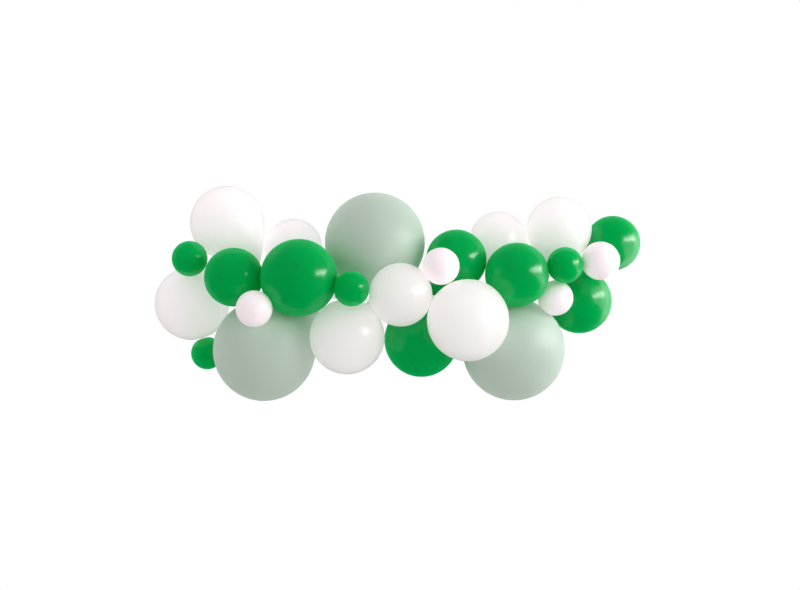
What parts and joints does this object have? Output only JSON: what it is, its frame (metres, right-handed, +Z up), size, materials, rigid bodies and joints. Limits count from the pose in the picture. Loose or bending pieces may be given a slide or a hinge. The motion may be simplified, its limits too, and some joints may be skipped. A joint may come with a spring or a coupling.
{
  "type": "balloon garland",
  "caption": "Hung garland of round latex balloons in three sizes and three colours, pulled by their necks through a clear perforated strip, for a wall, backdrop or doorway.",
  "frame": {"origin": "on the back face of the balloon strip, in its middle, where the garland is hung", "axes": "+X along the garland to the viewer's right, +Y away from the viewer, square to the strip's back face, +Z up"},
  "size_m": [1.6893, 0.5529, 0.7419],
  "materials": {
    "white_latex": "smooth opaque pearl-white latex, satin gloss",
    "green_latex": "smooth bright green latex, glossy, a little see-through at the edge",
    "sage_latex": "smooth opaque pastel sage latex, matt satin",
    "clear_plastic": "clear moulded strip, glossy",
    "clear_glue": "clear soft adhesive dot"
  },
  "bodies": {
    "root": {"balloon_strip": "clear_plastic", "white_balloon_1": "white_latex", "white_balloon_2": "white_latex", "white_balloon_3": "white_latex", "white_balloon_4": "white_latex", "white_balloon_5": "white_latex", "white_balloon_6": "white_latex", "white_balloon_7": "white_latex", "white_balloon_8": "white_latex", "green_balloon_1": "green_latex", "green_balloon_2": "green_latex", "green_balloon_3": "green_latex", "green_balloon_4": "green_latex", "green_balloon_5": "green_latex", "green_balloon_6": "green_latex", "green_balloon_7": "green_latex", "sage_balloon_1": "sage_latex", "sage_balloon_2": "sage_latex", "sage_balloon_3": "sage_latex", "small_white_balloon_1": "white_latex", "small_white_balloon_2": "white_latex", "small_white_balloon_3": "white_latex", "small_white_balloon_4": "white_latex", "small_green_balloon_1": "green_latex", "small_green_balloon_2": "green_latex", "small_green_balloon_3": "green_latex", "small_green_balloon_4": "green_latex", "glue_dot_1": "clear_glue", "glue_dot_2": "clear_glue", "glue_dot_3": "clear_glue", "glue_dot_4": "clear_glue", "glue_dot_5": "clear_glue", "glue_dot_6": "clear_glue", "glue_dot_7": "clear_glue", "glue_dot_8": "clear_glue", "glue_dot_9": "clear_glue", "glue_dot_10": "clear_glue", "glue_dot_11": "clear_glue"}
  },
  "joints": []
}
